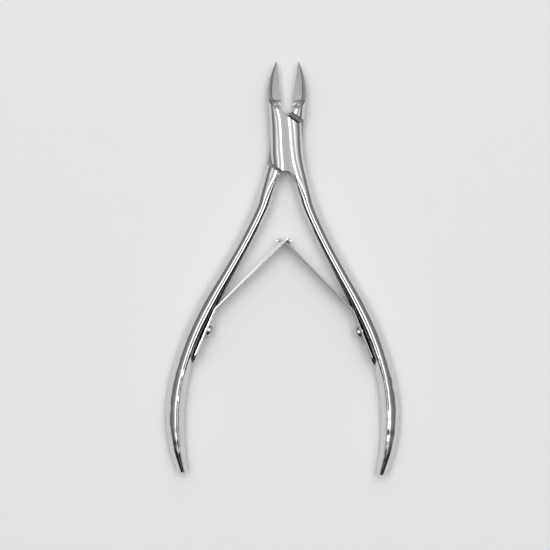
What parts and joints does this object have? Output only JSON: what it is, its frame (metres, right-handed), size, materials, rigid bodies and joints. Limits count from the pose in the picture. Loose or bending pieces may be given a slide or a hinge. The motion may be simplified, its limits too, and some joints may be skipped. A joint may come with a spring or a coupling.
{
  "type": "cuticle nipper",
  "caption": "Stainless steel cuticle nipper with a lap joint, short pointed jaws and interlocking double leaf springs.",
  "frame": {"origin": "on the pivot's axis, in the flat back of the joint", "axes": "+Y along the middle to the jaw tips, +Z from the flat back to the rounded front, +X to the handle that the front lap runs into"},
  "size_m": [0.058, 0.1027, 0.0055],
  "materials": {
    "polished_steel": "mirror polished stainless steel, ground matte on the blades and the flat back",
    "satin_steel": "satin ground",
    "spring_steel": "bright rolled strip",
    "screw_steel": "polished"
  },
  "bodies": {
    "back": {"back_half": "polished_steel", "left_spring_screw": "screw_steel"},
    "front": {"front_half": "polished_steel", "pivot_rivet": "satin_steel", "right_spring_screw": "screw_steel"},
    "left_leaf": {"left_spring": "spring_steel"},
    "right_leaf": {"right_spring": "spring_steel"}
  },
  "joints": [
    {"name": "pivot", "type": "hinge", "parent": "back", "child": "front", "pos_m": [0, 0, 0.00275], "axis": [0, 0, -1], "range_deg": [0, 14.5], "stiffness_Nm_per_rad": 0.5},
    {"name": "left_leaf_flex", "type": "hinge", "parent": "back", "child": "left_leaf", "pos_m": [-0.01716, -0.04152, 0.00275], "axis": [0, 0, 1], "range_deg": [0, 9], "deforming": ["left_spring"]},
    {"name": "right_leaf_flex", "type": "hinge", "parent": "front", "child": "right_leaf", "pos_m": [0.01716, -0.04152, 0.00275], "axis": [0, 0, -1], "range_deg": [0, 9], "deforming": ["right_spring"]}
  ],
  "couplings": [
    {"joint": "left_leaf_flex", "follows": "pivot", "ratio": 0.6},
    {"joint": "right_leaf_flex", "follows": "pivot", "ratio": 0.6}
  ]
}
